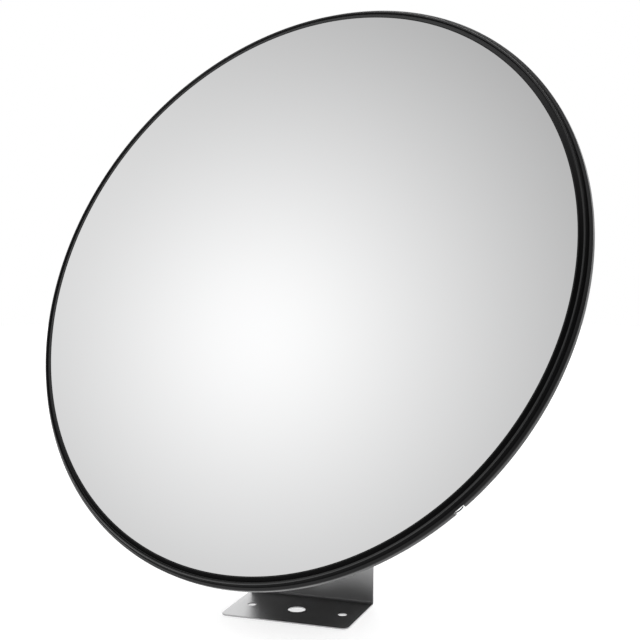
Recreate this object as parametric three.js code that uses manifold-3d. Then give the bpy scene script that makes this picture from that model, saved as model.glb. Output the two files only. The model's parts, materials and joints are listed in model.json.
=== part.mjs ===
// Convex security mirror, about 18 inches across, on a screw-down bracket.
// Millimetres, +Z up. The origin is on the underside of the bracket's foot, on its centre plane.
// The mirror faces -Y, turned a little to -X and tilted up.
import * as THREE from 'three';
import * as BufferGeometryUtils from 'three/addons/utils/BufferGeometryUtils.js';
import Module from 'manifold-3d';

const wasm = await Module();
wasm.setup();

// ---- driving dimensions ----
const GAP = 0.3; // between two pieces that touch
const RIM_SEGMENTS = 96; // of everything that is as wide as the mirror
const ROUND_SEGMENTS = 24; // of bolts, washers and nuts

// Where the mirror stands when it is at rest.
const PAN_DEG = -13.6; // turn of the yoke about the vertical pan bolt
const TILT_DEG = 28.1; // the mirror's axis above the horizontal
const PIVOT_Y = 35.3; // the pan bolt's axis behind the origin
const PIVOT_Z = 225; // height of the tilt bolt's axis

// Bracket: foot, upright and a top tab that is turned backwards, from one sheet.
const SHEET = 1.2;
const BEND = 2; // inner bend radius
const FOOT_WIDTH = 99.4;
const FOOT_FRONT_Y = -47.7;
const FOOT_CORNER = 5.4;
const UPRIGHT_BACK_Y = 13 + SHEET;
const BRACKET_HEIGHT = 193;
const SHOULDER_Z = 110; // the upright starts to narrow here
const SHOULDER_CURVE = 14; // height of the curve's first control point above the shoulder
const SLOPE_Z = SHOULDER_Z + 32; // the slope's middle, where the curve turns back
const SLOPE_IN = 10; // and how far it is inside the shoulder
const NECK_Z = 176; // the upright has the tab's width from here up
const TAB_WIDTH = 40;
const TAB_END_Y = PIVOT_Y + 18;
const HOLE_ROW_Y = -18.5;
const CENTRE_HOLE_R = 6.5;
const SIDE_HOLE_R = 3.25;
const SIDE_HOLE_X = 36;

// Mirror head, in heights along its own axis above the tilt bolt's axis.
const RIM_S = 44; // front edge of the trim
const TRIM_INNER_R = 221.5;
// The trim's outside: out from its inner edge and back from its front edge.
const TRIM_SECTION = [
  [0, 12.6], [6.7, 12.6], [9, 9.2], [9, 5.2], [7.3, 3.1], [6.1, 0], [0, 0],
];
const OUTER_R = TRIM_INNER_R + 9;
const DOME_EDGE_R = 221.2;
const DOME_EDGE_S = RIM_S - 0.2;
const DOME_RISE = 42;
const DOME_THICK = 2;
const FLANGE_R = 225.4; // outer edge of the dome's and the shell's flanges
const FLANGE_THICK = 1.8;
const DOME_FLANGE_S = RIM_S - 6.7; // undersides of the three clamped rings
const GASKET_S = RIM_S - 8.2;
const GASKET_THICK = 1.2;
const GASKET_INNER_R = 220;
const SHELL_FLANGE_S = RIM_S - 10.3;
const SHELL_BACK_S = 23;
const SHELL_THICK = 2;
const SHELL_HUB_R = 46;
const SHELL_SIDE_R = 206; // where the shell's back turns into its side
const SHELL_SIDE_S = SHELL_BACK_S + 4;
const SHELL_SLOPE = 10; // width of the side's slope
const SEAM = 0.5; // between the trim's two ends
const JOINT_ANGLE_DEG = -40.2; // where the trim's two ends meet
const NOTCH_LENGTH = 7.8;
const NOTCH_SLANT_DEG = 38; // the notch is cut across the trim's outer back corner
const NOTCH_FLOOR = 184.3; // from the middle of the mirror's rim, square to the slant
const STAPLE_R = 0.5;
const STAPLE_BOW = 2;
const STAPLE_DOWN = 7; // from the notch's front end, along its slant

// Plates and screws on the back of the head.
const PLATE_THICK = 2.3;
const PLATE_R = 30;
const INNER_PLATE_R = 32;
const INNER_PLATE_THICK = 2;
const PLATE_SCREW_R = 2;
const PLATE_SCREW_CIRCLE_R = 22;
const SCREW_COUNT = 4;
const SCREW_HEAD_R = 4;
const SCREW_HEAD_HEIGHT = 2.4;
const PLATE_NUT_FLATS = 7;
const PLATE_NUT_HEIGHT = 3.2;

// The mount plate's two ears, the yoke and the two bolts.
const LUG_OUTER_X = 11;
const LUG_THICK = 2.5;
const LUG_END_R = 9;
const LUG_HALF = 12;
const LUG_SHOULDER = 4; // the ears start to narrow this far from the plate
const EAR_THICK = 2.5;
const EAR_END_R = 9.5;
const EAR_SHOULDER = 8; // the yoke's ears start to narrow this far from its base
const YOKE_DEPTH = 26;
const YOKE_BEND_R = 4; // outer
const FRICTION_THICK = 1;
const FRICTION_R = 8.5;
const FLAT_WASHER_THICK = 1.6;
const TILT_BOLT_R = 3;
const TILT_HEAD_FLATS = 10;
const TILT_HEAD_HEIGHT = 4;
const TILT_WASHER_R = 6.5;
const TILT_SPRING_THICK = 1.8;
const TILT_NUT_SPAN = 30;
const TILT_NUT_HEIGHT = 13;
const TILT_BOLT_PAST_NUT = 9; // bolt length past the nut's seat
const PAN_BOLT_R = 4;
const PAN_HEAD_R = 9;
const PAN_HEAD_HEIGHT = 4.2;
const PAN_FRICTION_THICK = 1.5;
const PAN_FRICTION_R = 13;
const PAN_WASHER_R = 8.5;
const PAN_SPRING_THICK = 2;
const PAN_NUT_SPAN = 34;
const PAN_NUT_HEIGHT = 14;
const PAN_BOLT_PAST_NUT = 16;

// ---- heights and places that follow from them ----
const EAR_INNER_X = LUG_OUTER_X + FRICTION_THICK + 2 * GAP;
const EAR_OUTER_X = EAR_INNER_X + EAR_THICK;
const YOKE_BASE_Z = BRACKET_HEIGHT + PAN_FRICTION_THICK + 2 * GAP;
const PLATE_S = SHELL_BACK_S - GAP - PLATE_THICK;
const DOME_R = (DOME_EDGE_R ** 2 + DOME_RISE ** 2) / (2 * DOME_RISE);
const DOME_CENTRE_S = DOME_EDGE_S + DOME_RISE - DOME_R;
const NOTCH_FRONT = OUTER_R * Math.sin(NOTCH_SLANT_DEG * Math.PI / 180);

// ---- materials ----
function material(colour, roughness, metalness) {
  return new THREE.MeshStandardMaterial({ color: colour, roughness, metalness });
}
const satinSteel = material(0x9a9c9e, 0.35, 1);
const zincSteel = material(0xb4b6b8, 0.3, 1);
const blackWire = material(0x1c1c1d, 0.4, 1);
const silvering = material(0xe8e9ea, 0.05, 1);
const blackRubber = material(0x101112, 0.5, 0);
const blackPlastic = material(0x1a1b1c, 0.55, 0);
const greyFoam = material(0x3a3b3d, 0.9, 0);
const nylon = material(0xd9d6cc, 0.5, 0);

// ---- solids ----
const RADIANS = Math.PI / 180;

function toSolid(geometry) {
  const bare = geometry.index ? geometry.toNonIndexed() : geometry.clone();
  bare.deleteAttribute('normal');
  bare.deleteAttribute('uv');
  const merged = BufferGeometryUtils.mergeVertices(bare, 1e-4);
  const vertProperties = new Float32Array(merged.attributes.position.array);
  const triVerts = new Uint32Array(merged.index.array);
  return new wasm.Manifold(new wasm.Mesh({ numProp: 3, vertProperties, triVerts }));
}

function toGeometry(solid) {
  const mesh = solid.getMesh();
  const geometry = new THREE.BufferGeometry();
  geometry.setAttribute('position', new THREE.BufferAttribute(mesh.vertProperties, 3));
  geometry.setIndex(new THREE.BufferAttribute(mesh.triVerts, 1));
  return geometry;
}

function cut(geometry, ...tools) {
  return toGeometry(tools.reduce((rest, tool) => rest.subtract(toSolid(tool)), toSolid(geometry)));
}

function join(geometry, ...others) {
  return toGeometry(others.reduce((whole, other) => whole.add(toSolid(other)), toSolid(geometry)));
}

function common(geometry, ...others) {
  return toGeometry(others.reduce((rest, other) => rest.intersect(toSolid(other)), toSolid(geometry)));
}

// A solid of revolution about Z from [radius, height] pairs.
function turned(profile, segments = ROUND_SEGMENTS) {
  const points = profile.map(([radius, height]) => new THREE.Vector2(radius, height));
  return new THREE.LatheGeometry(points, segments).rotateX(Math.PI / 2);
}

// A flat ring or disc whose underside is at z.
function ring(innerR, outerR, z, thick, segments = ROUND_SEGMENTS) {
  const bottom = [[outerR, z], [outerR, z + thick]];
  if (innerR === 0) {
    return turned([[0, z], ...bottom, [0, z + thick]], segments);
  }
  return turned([[innerR, z], ...bottom, [innerR, z + thick], [innerR, z]], segments);
}

function rod(radius, z, length, segments = ROUND_SEGMENTS) {
  return ring(0, radius, z, length, segments);
}

function box(width, depth, height, x, y, z) {
  return new THREE.BoxGeometry(width, depth, height).translate(x, y, z);
}

function hexagon(acrossFlats, z, height) {
  const radius = acrossFlats / Math.sqrt(3);
  const upright = new THREE.CylinderGeometry(radius, radius, height, 6).rotateX(Math.PI / 2);
  return upright.translate(0, 0, z + height / 2);
}

// An outline in X and Y raised along Z.
function raised(shape, z, height, curveSegments = 8) {
  const options = { depth: height, bevelEnabled: false, curveSegments };
  return new THREE.ExtrudeGeometry(shape, options).translate(0, 0, z);
}

// Turns a solid that was drawn upwards so that it points along +X.
function alongX(geometry) {
  return geometry.rotateY(Math.PI / 2);
}

function mesh(name, geometry, itsMaterial) {
  const piece = new THREE.Mesh(geometry, itsMaterial);
  piece.name = name;
  return piece;
}

// ---- bracket ----
// The sheet seen from the side, as an outline in Y (drawn as x) and Z (drawn as y).
function bracketSide() {
  const outer = BEND + SHEET;
  const front = UPRIGHT_BACK_Y - SHEET;
  const top = BRACKET_HEIGHT;
  const shape = new THREE.Shape();
  shape.moveTo(FOOT_FRONT_Y, 0);
  shape.lineTo(UPRIGHT_BACK_Y - outer, 0);
  shape.absarc(UPRIGHT_BACK_Y - outer, outer, outer, -Math.PI / 2, 0, false);
  shape.lineTo(UPRIGHT_BACK_Y, top - outer);
  shape.absarc(UPRIGHT_BACK_Y + BEND, top - outer, BEND, Math.PI, Math.PI / 2, true);
  shape.lineTo(TAB_END_Y, top - SHEET);
  shape.lineTo(TAB_END_Y, top);
  shape.lineTo(front + outer, top);
  shape.absarc(front + outer, top - outer, outer, Math.PI / 2, Math.PI, false);
  shape.lineTo(front, outer);
  shape.absarc(front - BEND, outer, BEND, 0, -Math.PI / 2, true);
  shape.lineTo(FOOT_FRONT_Y, SHEET);
  shape.closePath();
  return shape;
}

// Seen from the front: full width at the foot, shoulders, then the tab's width.
function bracketFront() {
  const margin = 1;
  const foot = FOOT_WIDTH / 2;
  const tab = TAB_WIDTH / 2;
  const shape = new THREE.Shape();
  shape.moveTo(-foot, -margin);
  shape.lineTo(foot, -margin);
  shape.lineTo(foot, SHOULDER_Z);
  shape.quadraticCurveTo(foot - 1, SHOULDER_Z + SHOULDER_CURVE, foot - SLOPE_IN, SLOPE_Z);
  shape.quadraticCurveTo(tab, NECK_Z - SHOULDER_CURVE, tab, NECK_Z);
  shape.lineTo(tab, BRACKET_HEIGHT + margin);
  shape.lineTo(-tab, BRACKET_HEIGHT + margin);
  shape.lineTo(-tab, NECK_Z);
  shape.quadraticCurveTo(-tab, NECK_Z - SHOULDER_CURVE, -foot + SLOPE_IN, SLOPE_Z);
  shape.quadraticCurveTo(-foot + 1, SHOULDER_Z + SHOULDER_CURVE, -foot, SHOULDER_Z);
  shape.closePath();
  return shape;
}

// Seen from above: the foot's two rounded corners and the tab's round end.
function bracketTop() {
  const foot = FOOT_WIDTH / 2;
  const wide = foot + 1;
  const tab = TAB_WIDTH / 2;
  const corner = FOOT_CORNER;
  const tabStart = TAB_END_Y - tab;
  const shape = new THREE.Shape();
  shape.moveTo(-foot + corner, FOOT_FRONT_Y);
  shape.lineTo(foot - corner, FOOT_FRONT_Y);
  shape.absarc(foot - corner, FOOT_FRONT_Y + corner, corner, -Math.PI / 2, 0, false);
  shape.lineTo(foot, UPRIGHT_BACK_Y - BEND);
  shape.lineTo(wide, UPRIGHT_BACK_Y + BEND);
  shape.lineTo(tab, UPRIGHT_BACK_Y + BEND);
  shape.lineTo(tab, tabStart);
  shape.absarc(0, tabStart, tab, 0, Math.PI, false);
  shape.lineTo(-tab, UPRIGHT_BACK_Y + BEND);
  shape.lineTo(-wide, UPRIGHT_BACK_Y + BEND);
  shape.lineTo(-foot, UPRIGHT_BACK_Y - BEND);
  shape.lineTo(-foot, FOOT_FRONT_Y + corner);
  shape.absarc(-foot + corner, FOOT_FRONT_Y + corner, corner, Math.PI, 1.5 * Math.PI, false);
  shape.closePath();
  return shape;
}

function bracketGeometry() {
  const reach = 200;
  // Z up from the side outline: its x runs along Y and its depth along X.
  const side = raised(bracketSide(), -FOOT_WIDTH, 2 * FOOT_WIDTH, 6);
  side.rotateX(Math.PI / 2).rotateZ(Math.PI / 2);
  const front = raised(bracketFront(), -reach, 2 * reach).rotateX(Math.PI / 2);
  const above = raised(bracketTop(), -reach, 3 * reach);
  const blank = common(side, front, above);
  const footHole = (radius, x) => rod(radius, -SHEET, 3 * SHEET).translate(x, HOLE_ROW_Y, 0);
  const panHole = rod(PAN_BOLT_R + GAP, BRACKET_HEIGHT - 2 * SHEET, 3 * SHEET).translate(0, PIVOT_Y, 0);
  return cut(
    blank,
    footHole(CENTRE_HOLE_R, 0),
    footHole(SIDE_HOLE_R, -SIDE_HOLE_X),
    footHole(SIDE_HOLE_R, SIDE_HOLE_X),
    panHole,
  );
}

// ---- fasteners ----
// A split spring washer whose underside is at z.
function springWasher(boltR, z, thick) {
  const outerR = boltR + GAP + 2.6;
  const split = box(outerR + 2, 1, thick + 2, outerR / 2 + 1, 0, z + thick / 2);
  return cut(ring(boltR + GAP, outerR, z, thick), split);
}

// A wing nut that stands on z = 0 and points up.
function wingNut(boltR, span, height) {
  const hubR = boltR * 2.05;
  const hubHeight = height * 0.5;
  const hub = turned([[0, 0], [hubR, 0], [hubR * 0.78, hubHeight], [0, hubHeight]]);
  const wing = new THREE.Shape();
  const tip = span / 2;
  wing.moveTo(boltR * 1.2, hubHeight * 0.25);
  wing.lineTo(hubR, hubHeight * 0.25);
  wing.quadraticCurveTo(tip * 0.9, height * 0.3, tip, height * 0.72);
  wing.quadraticCurveTo(tip, height, tip * 0.82, height);
  wing.quadraticCurveTo(tip * 0.6, height, boltR * 1.2, hubHeight * 0.98);
  wing.closePath();
  const thick = boltR * 0.7;
  const right = raised(wing, -thick / 2, thick, 5).rotateX(Math.PI / 2);
  const left = right.clone().rotateZ(Math.PI);
  return cut(join(hub, right, left), rod(boltR + GAP, -1, height + 2));
}

// ---- yoke and the pan fasteners, about the pan bolt's axis ----
function yokeGeometry() {
  const outerX = EAR_OUTER_X;
  const innerX = EAR_INNER_X;
  const top = PIVOT_Z + EAR_END_R;
  const floor = YOKE_BASE_Z + EAR_THICK;
  const radius = YOKE_BEND_R;
  const section = new THREE.Shape();
  section.moveTo(-outerX + radius, YOKE_BASE_Z);
  section.lineTo(outerX - radius, YOKE_BASE_Z);
  section.absarc(outerX - radius, YOKE_BASE_Z + radius, radius, -Math.PI / 2, 0, false);
  section.lineTo(outerX, top);
  section.lineTo(innerX, top);
  section.lineTo(innerX, floor + radius - EAR_THICK);
  section.absarc(outerX - radius, YOKE_BASE_Z + radius, radius - EAR_THICK, 0, -Math.PI / 2, true);
  section.lineTo(-outerX + radius, floor);
  section.absarc(-outerX + radius, YOKE_BASE_Z + radius, radius - EAR_THICK, -Math.PI / 2, Math.PI, true);
  section.lineTo(-innerX, top);
  section.lineTo(-outerX, top);
  section.lineTo(-outerX, YOKE_BASE_Z + radius);
  section.absarc(-outerX + radius, YOKE_BASE_Z + radius, radius, Math.PI, 1.5 * Math.PI, false);
  section.closePath();
  const channel = raised(section, -YOKE_DEPTH / 2, YOKE_DEPTH, 5).rotateX(Math.PI / 2);

  // Seen from the side the ears narrow to round ends about the tilt bolt.
  const half = YOKE_DEPTH / 2;
  const ear = new THREE.Shape();
  ear.moveTo(-half, YOKE_BASE_Z - 1);
  ear.lineTo(half, YOKE_BASE_Z - 1);
  ear.lineTo(half, YOKE_BASE_Z + EAR_SHOULDER);
  ear.lineTo(EAR_END_R, PIVOT_Z);
  ear.absarc(0, PIVOT_Z, EAR_END_R, 0, Math.PI, false);
  ear.lineTo(-half, YOKE_BASE_Z + EAR_SHOULDER);
  ear.closePath();
  const sides = raised(ear, -2 * outerX, 4 * outerX).rotateX(Math.PI / 2).rotateZ(Math.PI / 2);

  const neck = 2 * (PAN_BOLT_R + GAP);
  const squareHole = box(neck, neck, 4 * EAR_THICK, 0, 0, YOKE_BASE_Z);
  const tiltHole = alongX(rod(TILT_BOLT_R + GAP, -2 * outerX, 4 * outerX)).translate(0, 0, PIVOT_Z);
  return cut(common(channel, sides), squareHole, tiltHole);
}

// A round-headed bolt with a square neck that keeps it from turning in the yoke.
function panBoltGeometry(nutZ) {
  const headZ = YOKE_BASE_Z + EAR_THICK + GAP;
  const head = turned([
    [0, headZ],
    [PAN_HEAD_R, headZ],
    [0.95 * PAN_HEAD_R, headZ + 0.4 * PAN_HEAD_HEIGHT],
    [0.7 * PAN_HEAD_R, headZ + 0.8 * PAN_HEAD_HEIGHT],
    [0, headZ + PAN_HEAD_HEIGHT],
  ]);
  const neckHeight = EAR_THICK + GAP;
  const neck = box(2 * PAN_BOLT_R, 2 * PAN_BOLT_R, neckHeight, 0, 0, headZ - neckHeight / 2);
  const endZ = nutZ - PAN_BOLT_PAST_NUT;
  return join(head, neck, rod(PAN_BOLT_R, endZ, headZ - endZ + 1));
}

// ---- mirror head, about the tilt bolt's axis, facing +Z ----
// Points of a ball-shaped cap from its edge at edgeR to the axis, or the other way round.
function capArc(ballR, edgeR, steps, fromAxis) {
  const edgeAngle = Math.asin(edgeR / ballR);
  const points = [];
  for (let i = 0; i <= steps; i += 1) {
    const part = fromAxis ? i / steps : 1 - i / steps;
    const angle = edgeAngle * part;
    points.push([part === 0 ? 0 : ballR * Math.sin(angle), DOME_CENTRE_S + ballR * Math.cos(angle)]);
  }
  return points;
}

function domeGeometry() {
  const innerEdgeR = DOME_EDGE_R - DOME_THICK;
  return turned([
    ...capArc(DOME_R - DOME_THICK, innerEdgeR, 3, true),
    [innerEdgeR, DOME_FLANGE_S],
    [FLANGE_R, DOME_FLANGE_S],
    [FLANGE_R, DOME_FLANGE_S + FLANGE_THICK],
    [DOME_EDGE_R, DOME_FLANGE_S + FLANGE_THICK],
    ...capArc(DOME_R, DOME_EDGE_R, 7, false),
  ], RIM_SEGMENTS);
}

// A shallow dish with a flat hub in the middle and a flange round its edge.
function shellGeometry() {
  const sideR = SHELL_SIDE_R;
  const dish = turned([
    [0, SHELL_BACK_S],
    [SHELL_HUB_R, SHELL_BACK_S],
    [sideR, SHELL_SIDE_S],
    [sideR + SHELL_SLOPE, SHELL_FLANGE_S],
    [FLANGE_R, SHELL_FLANGE_S],
    [FLANGE_R, SHELL_FLANGE_S + FLANGE_THICK],
    [sideR + SHELL_SLOPE - 1, SHELL_FLANGE_S + FLANGE_THICK],
    [sideR - 1, SHELL_SIDE_S + SHELL_THICK],
    [SHELL_HUB_R, SHELL_BACK_S + SHELL_THICK],
    [0, SHELL_BACK_S + SHELL_THICK],
  ], RIM_SEGMENTS);
  return cut(dish, ...screwHoles());
}

// A rubber channel that grips the stacked flanges. Its back edge is cut away at the joint.
function trimGeometry() {
  const slotR = FLANGE_R + GAP;
  const slotTop = DOME_FLANGE_S + FLANGE_THICK + GAP;
  const slotBottom = SHELL_FLANGE_S - GAP;
  const outside = TRIM_SECTION.map(([out, back]) => [TRIM_INNER_R + out, RIM_S - back]);
  const channel = turned([
    ...outside,
    [TRIM_INNER_R, slotTop],
    [slotR, slotTop],
    [slotR, slotBottom],
    [TRIM_INNER_R, slotBottom],
    outside[0],
  ], RIM_SEGMENTS);
  const reach = 30;
  const seam = box(reach, SEAM, reach, OUTER_R, 0, RIM_S);
  const notchX = NOTCH_FLOOR + reach / 2;
  const notch = box(reach, NOTCH_LENGTH, reach, notchX, 0, NOTCH_FRONT);
  return cut(channel, atTrimJoint(seam), atTrimJoint(slanted(notch)));
}

// Turns a solid about the rim's middle by the notch's slant.
function slanted(geometry) {
  return geometry.rotateY(NOTCH_SLANT_DEG * RADIANS).translate(0, 0, RIM_S);
}

function atTrimJoint(geometry) {
  return geometry.rotateZ(JOINT_ANGLE_DEG * RADIANS);
}

// A wire staple that ties the trim's two ends together and bows out over the notch.
function trimStapleGeometry() {
  const along = NOTCH_LENGTH / 2 - STAPLE_R;
  const height = NOTCH_FRONT - STAPLE_DOWN;
  const low = NOTCH_FLOOR + STAPLE_R + GAP;
  const bow = new THREE.QuadraticBezierCurve3(
    new THREE.Vector3(low, -along, height),
    new THREE.Vector3(low + STAPLE_BOW, 0, height),
    new THREE.Vector3(low, along, height),
  );
  const section = new THREE.Shape().absarc(0, 0, STAPLE_R, 0, 2 * Math.PI, false);
  const options = { steps: 8, curveSegments: 4, bevelEnabled: false, extrudePath: bow };
  return atTrimJoint(slanted(new THREE.ExtrudeGeometry(section, options)));
}

function screwPlaces() {
  const places = [];
  for (let i = 0; i < SCREW_COUNT; i += 1) {
    const angle = (i + 0.5) * (2 * Math.PI / SCREW_COUNT);
    places.push([PLATE_SCREW_CIRCLE_R * Math.cos(angle), PLATE_SCREW_CIRCLE_R * Math.sin(angle)]);
  }
  return places;
}

function screwHoles() {
  const hole = rod(PLATE_SCREW_R + GAP, PLATE_S - 5, 20, 12);
  return screwPlaces().map(([x, y]) => hole.clone().translate(x, y, 0));
}

// The outer plate carries two ears, welded on, that the tilt bolt passes through.
function mountPlateGeometry() {
  const ear = new THREE.Shape();
  ear.moveTo(-LUG_HALF, PLATE_S + 1);
  ear.lineTo(-LUG_HALF, PLATE_S - LUG_SHOULDER);
  ear.lineTo(-LUG_END_R, 0);
  ear.absarc(0, 0, LUG_END_R, Math.PI, 2 * Math.PI, false);
  ear.lineTo(LUG_HALF, PLATE_S - LUG_SHOULDER);
  ear.lineTo(LUG_HALF, PLATE_S + 1);
  ear.closePath();
  const right = raised(ear, LUG_OUTER_X - LUG_THICK, LUG_THICK).rotateX(Math.PI / 2).rotateZ(Math.PI / 2);
  const left = right.clone().translate(LUG_THICK - 2 * LUG_OUTER_X, 0, 0);
  const plate = rod(PLATE_R, PLATE_S, PLATE_THICK, 36);
  const bore = alongX(rod(TILT_BOLT_R + GAP, -2 * LUG_OUTER_X, 4 * LUG_OUTER_X));
  return cut(join(plate, right, left), bore, ...screwHoles());
}

function plateScrewGeometry(nutTop) {
  const headS = PLATE_S - GAP;
  const topS = headS - SCREW_HEAD_HEIGHT;
  const crown = [[0, topS], [0.65 * SCREW_HEAD_R, topS], [0.95 * SCREW_HEAD_R, topS + 1]];
  const head = turned([...crown, [SCREW_HEAD_R, headS], [0, headS]], 16);
  return join(head, rod(PLATE_SCREW_R, headS - 1, nutTop + 2 - headS, 12));
}

// ---- assembly ----
function tiltFasteners() {
  const headX = EAR_OUTER_X + GAP;
  const washerX = EAR_OUTER_X + GAP;
  const springX = washerX + FLAT_WASHER_THICK + GAP;
  const nutX = springX + TILT_SPRING_THICK + GAP;
  const boltHead = hexagon(TILT_HEAD_FLATS, -headX - TILT_HEAD_HEIGHT, TILT_HEAD_HEIGHT);
  const bolt = join(boltHead, rod(TILT_BOLT_R, -headX - 1, headX + 1 + nutX + TILT_BOLT_PAST_NUT));
  const flat = ring(TILT_BOLT_R + GAP, TILT_WASHER_R, washerX, FLAT_WASHER_THICK);
  const friction = (x) => alongX(ring(TILT_BOLT_R + GAP, FRICTION_R, x, FRICTION_THICK));
  const spring = springWasher(TILT_BOLT_R, springX, TILT_SPRING_THICK);
  const nut = wingNut(TILT_BOLT_R, TILT_NUT_SPAN, TILT_NUT_HEIGHT).translate(0, 0, nutX);
  return [
    mesh('tilt_bolt', alongX(bolt), zincSteel),
    mesh('tilt_friction_washer_left', friction(-LUG_OUTER_X - GAP - FRICTION_THICK), nylon),
    mesh('tilt_friction_washer_right', friction(LUG_OUTER_X + GAP), nylon),
    mesh('tilt_flat_washer', alongX(flat), zincSteel),
    mesh('tilt_spring_washer', alongX(spring), zincSteel),
    mesh('tilt_wing_nut', alongX(nut), zincSteel),
  ];
}

function mirrorHead() {
  const head = new THREE.Group();
  const gasket = ring(GASKET_INNER_R, FLANGE_R - 0.4, GASKET_S, GASKET_THICK, RIM_SEGMENTS);
  head.add(mesh('mirror_dome', domeGeometry(), silvering));
  head.add(mesh('foam_gasket', gasket, greyFoam));
  head.add(mesh('back_shell', shellGeometry(), blackPlastic));
  head.add(mesh('edge_trim', trimGeometry(), blackRubber));
  head.add(mesh('trim_staple', trimStapleGeometry(), blackWire));
  head.add(mesh('mount_plate', mountPlateGeometry(), zincSteel));
  const innerPlateS = SHELL_BACK_S + SHELL_THICK + GAP;
  const innerPlate = rod(INNER_PLATE_R, innerPlateS, INNER_PLATE_THICK, 36);
  head.add(mesh('inner_plate', cut(innerPlate, ...screwHoles()), zincSteel));
  head.add(...plateFasteners(innerPlateS + INNER_PLATE_THICK + GAP));
  return head;
}

function plateFasteners(nutS) {
  const bore = rod(PLATE_SCREW_R + GAP, nutS - 1, PLATE_NUT_HEIGHT + 2, 12);
  return screwPlaces().flatMap(([x, y], i) => {
    const screw = mesh(`plate_screw_${i + 1}`, plateScrewGeometry(nutS + PLATE_NUT_HEIGHT), zincSteel);
    const nutGeometry = cut(hexagon(PLATE_NUT_FLATS, nutS, PLATE_NUT_HEIGHT), bore);
    const nut = mesh(`plate_nut_${i + 1}`, nutGeometry, zincSteel);
    screw.position.set(x, y, 0);
    nut.position.set(x, y, 0);
    return [screw, nut];
  });
}

function panFasteners() {
  const boreR = PAN_BOLT_R + GAP;
  const washerZ = BRACKET_HEIGHT - SHEET - GAP - FLAT_WASHER_THICK;
  const springZ = washerZ - GAP - PAN_SPRING_THICK;
  const nutZ = springZ - GAP;
  const nut = wingNut(PAN_BOLT_R, PAN_NUT_SPAN, PAN_NUT_HEIGHT).rotateX(Math.PI).translate(0, 0, nutZ);
  const friction = ring(boreR, PAN_FRICTION_R, BRACKET_HEIGHT + GAP, PAN_FRICTION_THICK);
  return [
    mesh('pan_bolt', panBoltGeometry(nutZ), zincSteel),
    mesh('pan_friction_washer', friction, nylon),
    mesh('pan_flat_washer', ring(boreR, PAN_WASHER_R, washerZ, FLAT_WASHER_THICK), zincSteel),
    mesh('pan_spring_washer', springWasher(PAN_BOLT_R, springZ, PAN_SPRING_THICK), zincSteel),
    mesh('pan_wing_nut', nut, zincSteel),
  ];
}

const mirror = new THREE.Group();
mirror.add(mesh('bracket', bracketGeometry(), satinSteel));

const turntable = new THREE.Group();
turntable.position.y = PIVOT_Y;
turntable.rotation.z = PAN_DEG * RADIANS;
turntable.add(mesh('yoke', yokeGeometry(), zincSteel));
turntable.add(...panFasteners());

const tiltAxis = new THREE.Group();
tiltAxis.position.z = PIVOT_Z;
tiltAxis.add(...tiltFasteners());

const head = mirrorHead();
head.rotation.x = (90 - TILT_DEG) * RADIANS;
tiltAxis.add(head);
turntable.add(tiltAxis);
mirror.add(turntable);

export default mirror;
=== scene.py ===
import json
import math

import bmesh
import bpy
from mathutils import Matrix, Vector


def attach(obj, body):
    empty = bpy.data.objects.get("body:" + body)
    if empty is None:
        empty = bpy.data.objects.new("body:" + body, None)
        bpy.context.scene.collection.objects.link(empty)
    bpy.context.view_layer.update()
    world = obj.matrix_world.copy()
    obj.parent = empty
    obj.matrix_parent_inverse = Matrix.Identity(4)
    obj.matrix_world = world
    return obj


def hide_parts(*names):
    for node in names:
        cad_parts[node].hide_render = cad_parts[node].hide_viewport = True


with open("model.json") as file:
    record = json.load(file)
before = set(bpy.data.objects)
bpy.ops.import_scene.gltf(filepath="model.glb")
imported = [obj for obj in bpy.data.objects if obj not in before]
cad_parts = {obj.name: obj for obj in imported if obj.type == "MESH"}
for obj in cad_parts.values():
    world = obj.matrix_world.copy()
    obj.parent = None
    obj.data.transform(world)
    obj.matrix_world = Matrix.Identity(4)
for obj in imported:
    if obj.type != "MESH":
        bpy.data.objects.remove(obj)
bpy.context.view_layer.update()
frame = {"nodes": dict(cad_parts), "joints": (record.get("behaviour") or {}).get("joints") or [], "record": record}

# Lengths in this script are in millimetres unless a name says otherwise. MM turns them into metres.
MM = 0.001
FULL_TURN = 2 * math.pi

# ---- places, from the frame ----
joints = {joint["name"]: joint for joint in frame["joints"]}
tilt_pivot = Vector(joints["tilt"]["pos_m"])
pan_pivot = Vector(joints["pan"]["pos_m"])
side = Vector(joints["tilt_nut_turn"]["axis"]).normalized()
up = Vector((0, 0, 1))


def place(origin, x_axis, z_axis):
    """A matrix from millimetres along the given axes to metres in the frame."""
    z_axis = z_axis.normalized()
    y_axis = z_axis.cross(x_axis).normalized()
    turned = Matrix((y_axis.cross(z_axis), y_axis, z_axis)).transposed().to_4x4()
    return Matrix.Translation(origin) @ turned @ Matrix.Scale(MM, 4)


def middle(node):
    """The mean of a CAD node's vertices."""
    points = [v.co for v in frame["nodes"][node].data.vertices]
    return sum(points, Vector()) / len(points)


facing = (middle("foam_gasket") - tilt_pivot).normalized()
HEAD = place(tilt_pivot, side, facing)
TILT = place(tilt_pivot, up, side)
PAN = place(Vector((pan_pivot.x, pan_pivot.y, 0)), side, up)
BRACKET = Matrix.Scale(MM, 4)


def span(node, its_place):
    """Lowest and highest corner of a CAD node in its own axes, in millimetres."""
    back = its_place.inverted()
    points = [back @ v.co for v in frame["nodes"][node].data.vertices]
    low = Vector([min(p[i] for p in points) for i in range(3)])
    high = Vector([max(p[i] for p in points) for i in range(3)])
    return low, high


# ---- outlines ----
NEARLY_STRAIGHT = math.radians(89)


def arc(x, y, radius, start, stop, steps):
    """Points of a circle's arc, angles in degrees."""
    turns = [math.radians(start + (stop - start) * i / steps) for i in range(steps + 1)]
    return [(x + radius * math.cos(t), y + radius * math.sin(t)) for t in turns]


def circle(x, y, radius, steps, clockwise=False):
    points = arc(x, y, radius, 0, 360, steps)[:-1]
    return points[::-1] if clockwise else points


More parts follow.
